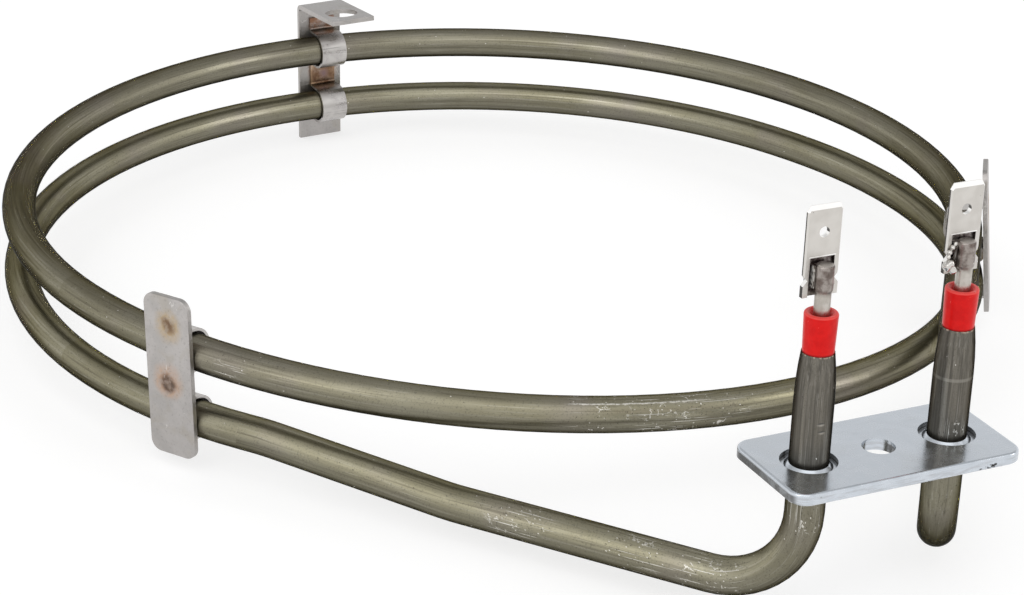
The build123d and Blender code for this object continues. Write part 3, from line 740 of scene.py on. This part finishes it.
x, y, height = nickel.split(nickel.place)
from_middle = nickel.calc("ABSOLUTE", nickel.calc("SUBTRACT", nickel.calc("ABSOLUTE", x), LEG_X))
deep = nickel.times(nickel.spread(height, BLADE_STEP_Z + 0.02 * MM, BLADE_STEP_Z - 0.02 * MM),
                    nickel.spread(y, FRONT_Y + 0.15 * MM, FRONT_Y + 0.35 * MM),
                    nickel.spread(from_middle, CHANNEL_HALF, CHANNEL_HALF - 0.06 * MM))
heat = nickel.grain(nickel.place, 1100.0, 3.0, 0.6)
colour = nickel.tint(nickel.times(deep, nickel.spread(heat, 0.62, 0.40, 0.55, 0.97)), colour,
                     (0.075, 0.052, 0.052))
# Painted highlight: a bright line along the rim of the channel's step.
rim_highlight = nickel.times(nickel.calc("COMPARE", height, BLADE_STEP_Z + 0.10 * MM, 0.10 * MM),
                   nickel.spread(from_middle, CHANNEL_HALF + 0.25 * MM,
                                 CHANNEL_HALF + 0.05 * MM))
colour = nickel.tint(nickel.times(rim_highlight, 0.8), colour, PAINTED_RIM_HIGHLIGHT)
nickel.put(Base_Color=colour, Roughness=nickel.spread(bloom, 0.3, 0.7, 0.30, 0.40),
           Normal=nickel.relief(frost, 0.02 * MM))
nickel.dress("left_blade_tab", "right_blade_tab")

# %% [markdown]
# ## Seals
# A red silicone plug closes each mouth of the sheath and keeps damp out of the powder. It is
# soft, so a little light goes into it, its top edge is painted paler as a highlight, its foot is
# painted dark as shade where it meets the tube, and the tool that pressed it in nibbled its rim.
# A trace of subsurface does the first of these, and bands of colour by height the others.

# %% Silicone
seal = Finish("red_silicone", Roughness=0.32, Specular_IOR_Level=0.16, Subsurface_Weight=0.05,
              Subsurface_Scale=0.0010)
height = seal.split(seal.place)[2]
soft = seal.grain(seal.place, 700.0, 3.0, 0.6)
colour = seal.tint(seal.spread(soft, 0.3, 0.7), (0.54, 0.003, 0.003), (0.63, 0.006, 0.005))
# Painted highlight: a paler band round the top of the seal.
crown_highlight = seal.calc("COMPARE", height, SEAL_TOP_Z - 0.10 * MM, 0.16 * MM)
colour = seal.tint(seal.times(crown_highlight, 0.35), colour, (0.86, 0.16, 0.14))
# Painted shade: the seal is darkened at its foot, where it meets the tube.
foot_shade = seal.spread(height, LEG_TOP_Z + 0.45 * MM, LEG_TOP_Z + 0.10 * MM)
colour = seal.tint(seal.times(foot_shade, 0.6), colour, (0.22, 0.004, 0.004))
nibbled = seal.times(seal.hairs(seal.place, 900.0, 0.05, 0.62),
                     seal.spread(height, SEAL_TOP_Z - 2.6 * MM, SEAL_TOP_Z - 0.6 * MM))
colour = seal.tint(seal.times(nibbled, 0.7), colour, (0.90, 0.30, 0.26))
chips = seal.dots(seal.place, 1400.0, 0.22, 0.04)
marks = seal.calc("ADD", seal.times(soft, 0.5), seal.calc("ADD", chips, nibbled))
seal.put(Base_Color=colour, Normal=seal.relief(marks, 0.08 * MM))
seal.dress("left_end_seal", "right_end_seal")

# %% [markdown]
# ## Weld spatter
# Welding threw a few molten drops that froze against the terminals as shiny lumps. They are
# an accident rather than a designed part, so they are made here: small spheres, pushed out
# of round by noise, run together by a voxel remesh and softened. Metaballs would also run
# together, but their size is harder to set.

# %% Spatter
DROP_PUSH = 0.30                     # share of its radius by which a drop is pushed
DROP_VOXEL = 0.07 * MM


def frozen_drops(name, drops):
    """One lump of metal from several drops that ran together."""
    shape = bmesh.new()
    for centre, radius in drops:
        place = Matrix.Translation(Vector(centre) * MM)
        made = bmesh.ops.create_icosphere(shape, subdivisions=3, radius=radius * MM, matrix=place)
        for corner in made["verts"]:
            push = noise.noise(corner.co / MM * 1.3 + Vector((3.1, 0.0, 7.7)))
            corner.co += (corner.co - place.translation) * DROP_PUSH * push
    mesh = bpy.data.meshes.new(name)
    shape.to_mesh(mesh)
    shape.free()
    lump = bpy.data.objects.new(name, mesh)
    bpy.context.scene.collection.objects.link(lump)
    merge = lump.modifiers.new("merge", "REMESH")
    merge.mode = "VOXEL"
    merge.voxel_size = DROP_VOXEL
    soften = lump.modifiers.new("soften", "SMOOTH")
    soften.factor = 0.6
    soften.iterations = 6
    evaluated = lump.evaluated_get(bpy.context.evaluated_depsgraph_get())
    baked = bpy.data.meshes.new_from_object(evaluated)
    lump.modifiers.clear()
    lump.data = baked
    for face in baked.polygons:
        face.use_smooth = True
    baked.materials.clear()
    baked.materials.append(spatter.material)
    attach(lump, "root")
    print(name, len(baked.polygons), "faces")


spatter = Finish("frozen_spatter", Metallic=1.0, Roughness=0.13,
                 Base_Color=(0.60, 0.58, 0.55, 1.0))
# Centre and radius of each drop, in millimetres.
frozen_drops("right_spatter", (
    ((9.9, 0.3, 29.5), 0.85), ((10.8, 0.1, 29.0), 0.75), ((10.3, 0.0, 30.0), 0.60),
    ((10.1, 0.5, 31.0), 0.40), ((10.3, 0.5, 31.7), 0.50), ((10.9, 0.6, 32.5), 0.45),
    ((11.4, 0.7, 33.0), 0.38)))
frozen_drops("left_spatter", (((-11.2, 0.5, 30.4), 0.42), ((-11.0, 0.8, 29.8), 0.36)))

# %% [markdown]
# ## Floor
# The element lies on a plain pale floor. Part of the floor's white is its own faint glow, so
# it meets the white background without a line, and the rest is lit, so it still takes the
# soft shadow. A backdrop with no floor would lose the shadow, and with it the sense that the
# ring lies on something.

# %% Floor
FLOOR_HALF = 3.0
FLOOR_Z = cad_low[2] - 0.02 * MM

floor_mesh = bpy.data.meshes.new("floor")
corners = [(x * FLOOR_HALF, y * FLOOR_HALF, FLOOR_Z)
           for x, y in ((-1, -1), (1, -1), (1, 1), (-1, 1))]
floor_mesh.from_pydata(corners, [], [(0, 1, 2, 3)])
floor = bpy.data.objects.new("floor", floor_mesh)
bpy.context.scene.collection.objects.link(floor)
floor_look = Finish("pale_floor", Roughness=0.9, Specular_IOR_Level=0.0,
                    Base_Color=(0.42, 0.42, 0.42, 1.0),
                    Emission_Color=(1.0, 1.0, 1.0, 1.0), Emission_Strength=0.64)
floor_mesh.materials.append(floor_look.material)
print("floor at", round(FLOOR_Z / MM, 2), "mm")

# %% [markdown]
# ## World
# Polished metal shows what is round it, so the world is built like a small studio: white low
# down on all sides, white above the front, and dimmer above the back, which gives the tubes
# their darker upper edge. Straight to the camera the world is plain white. One flat grey
# world would make the metal look like plastic.

# %% World
BACK_EAST, BACK_NORTH = 0.449, 0.894           # plan direction of the studio's back wall
BACK_GLOW = 0.60

world = bpy.data.worlds.new("studio")
bpy.context.scene.world = world
world.use_nodes = True
sky = Graph(world.node_tree)
background = sky.tree.nodes["Background"]
east, north, lift = sky.split(sky.node("ShaderNodeTexCoord").outputs["Generated"])
to_back = sky.calc("ADD", sky.times(east, BACK_EAST), sky.times(north, BACK_NORTH))
overhead = sky.spread(to_back, 0.35, -0.45, BACK_GLOW, 1.0)
glow = sky.spread(lift, 0.40, 0.56, 1.0, overhead)
rays = sky.node("ShaderNodeLightPath").outputs
straight = sky.calc("MAXIMUM", rays["Is Camera Ray"], rays["Is Transmission Ray"])
sky.feed(background.inputs["Strength"], sky.spread(straight, 0.0, 1.0, glow, 1.0, kind="LINEAR"))
background.inputs["Color"].default_value = (1.0, 1.0, 1.0, 1.0)
print("back of the studio at", BACK_GLOW, "of white")

# %% [markdown]
# ## Lamps
# Three soft boxes stand round the element: a large one over the front, one on the left and
# a weak one on the right. They are kept low, so that a colour renders about as written, and
# they only add the soft streak along each tube. Small hard lamps would leave sharp lines.

# %% Soft boxes
AIM = Vector((0.0, 0.12, 0.0))


def soft_box(name, place, size, power):
    lamp = bpy.data.lights.new(name, "AREA")
    lamp.shape = "RECTANGLE"
    lamp.size, lamp.size_y = size
    lamp.energy = power
    box = bpy.data.objects.new(name, lamp)
    box.location = place
    box.rotation_euler = (AIM - Vector(place)).to_track_quat("-Z", "Y").to_euler()
    bpy.context.scene.collection.objects.link(box)
    print(name, "soft box,", power, "W")


soft_box("top", (-0.28, -0.42, 0.80), (0.9, 0.7), 1.0)
soft_box("left", (-0.90, -0.30, 0.60), (0.45, 0.60), 1.2)
soft_box("right", (0.80, -0.45, 0.50), (0.25, 0.40), 1.0)

# %% [markdown]
# ## Camera
# A long lens from a little above looks across the ring, with the terminals near and right.
# Its place and its three turns are given as numbers, and the matrix is built from them, so
# that the small roll is exact. A camera that tracks a target could not be rolled.

# %% Camera
CAMERA_PLACE = Vector((-0.23177, -0.32848, 0.19808))
YAW, PITCH, ROLL = (math.radians(a) for a in (26.732, 23.703, 2.112))
LENS, SENSOR = 97.90, 36.0

ahead = Vector((math.sin(YAW) * math.cos(PITCH), math.cos(YAW) * math.cos(PITCH),
                -math.sin(PITCH)))
level = Vector((math.cos(YAW), -math.sin(YAW), 0.0))
above = level.cross(ahead)
across = math.cos(ROLL) * level + math.sin(ROLL) * above
upward = math.cos(ROLL) * above - math.sin(ROLL) * level
view = bpy.data.cameras.new("camera")
view.lens = LENS
view.sensor_width = SENSOR
camera = bpy.data.objects.new("camera", view)
bpy.context.scene.collection.objects.link(camera)
turned = Matrix((across, upward, -ahead)).transposed().to_4x4()
camera.matrix_world = Matrix.Translation(CAMERA_PLACE) @ turned
bpy.context.scene.camera = camera
bpy.context.scene.view_settings.view_transform = "Standard"
print("camera", round(CAMERA_PLACE.length, 3), "m from the flange")
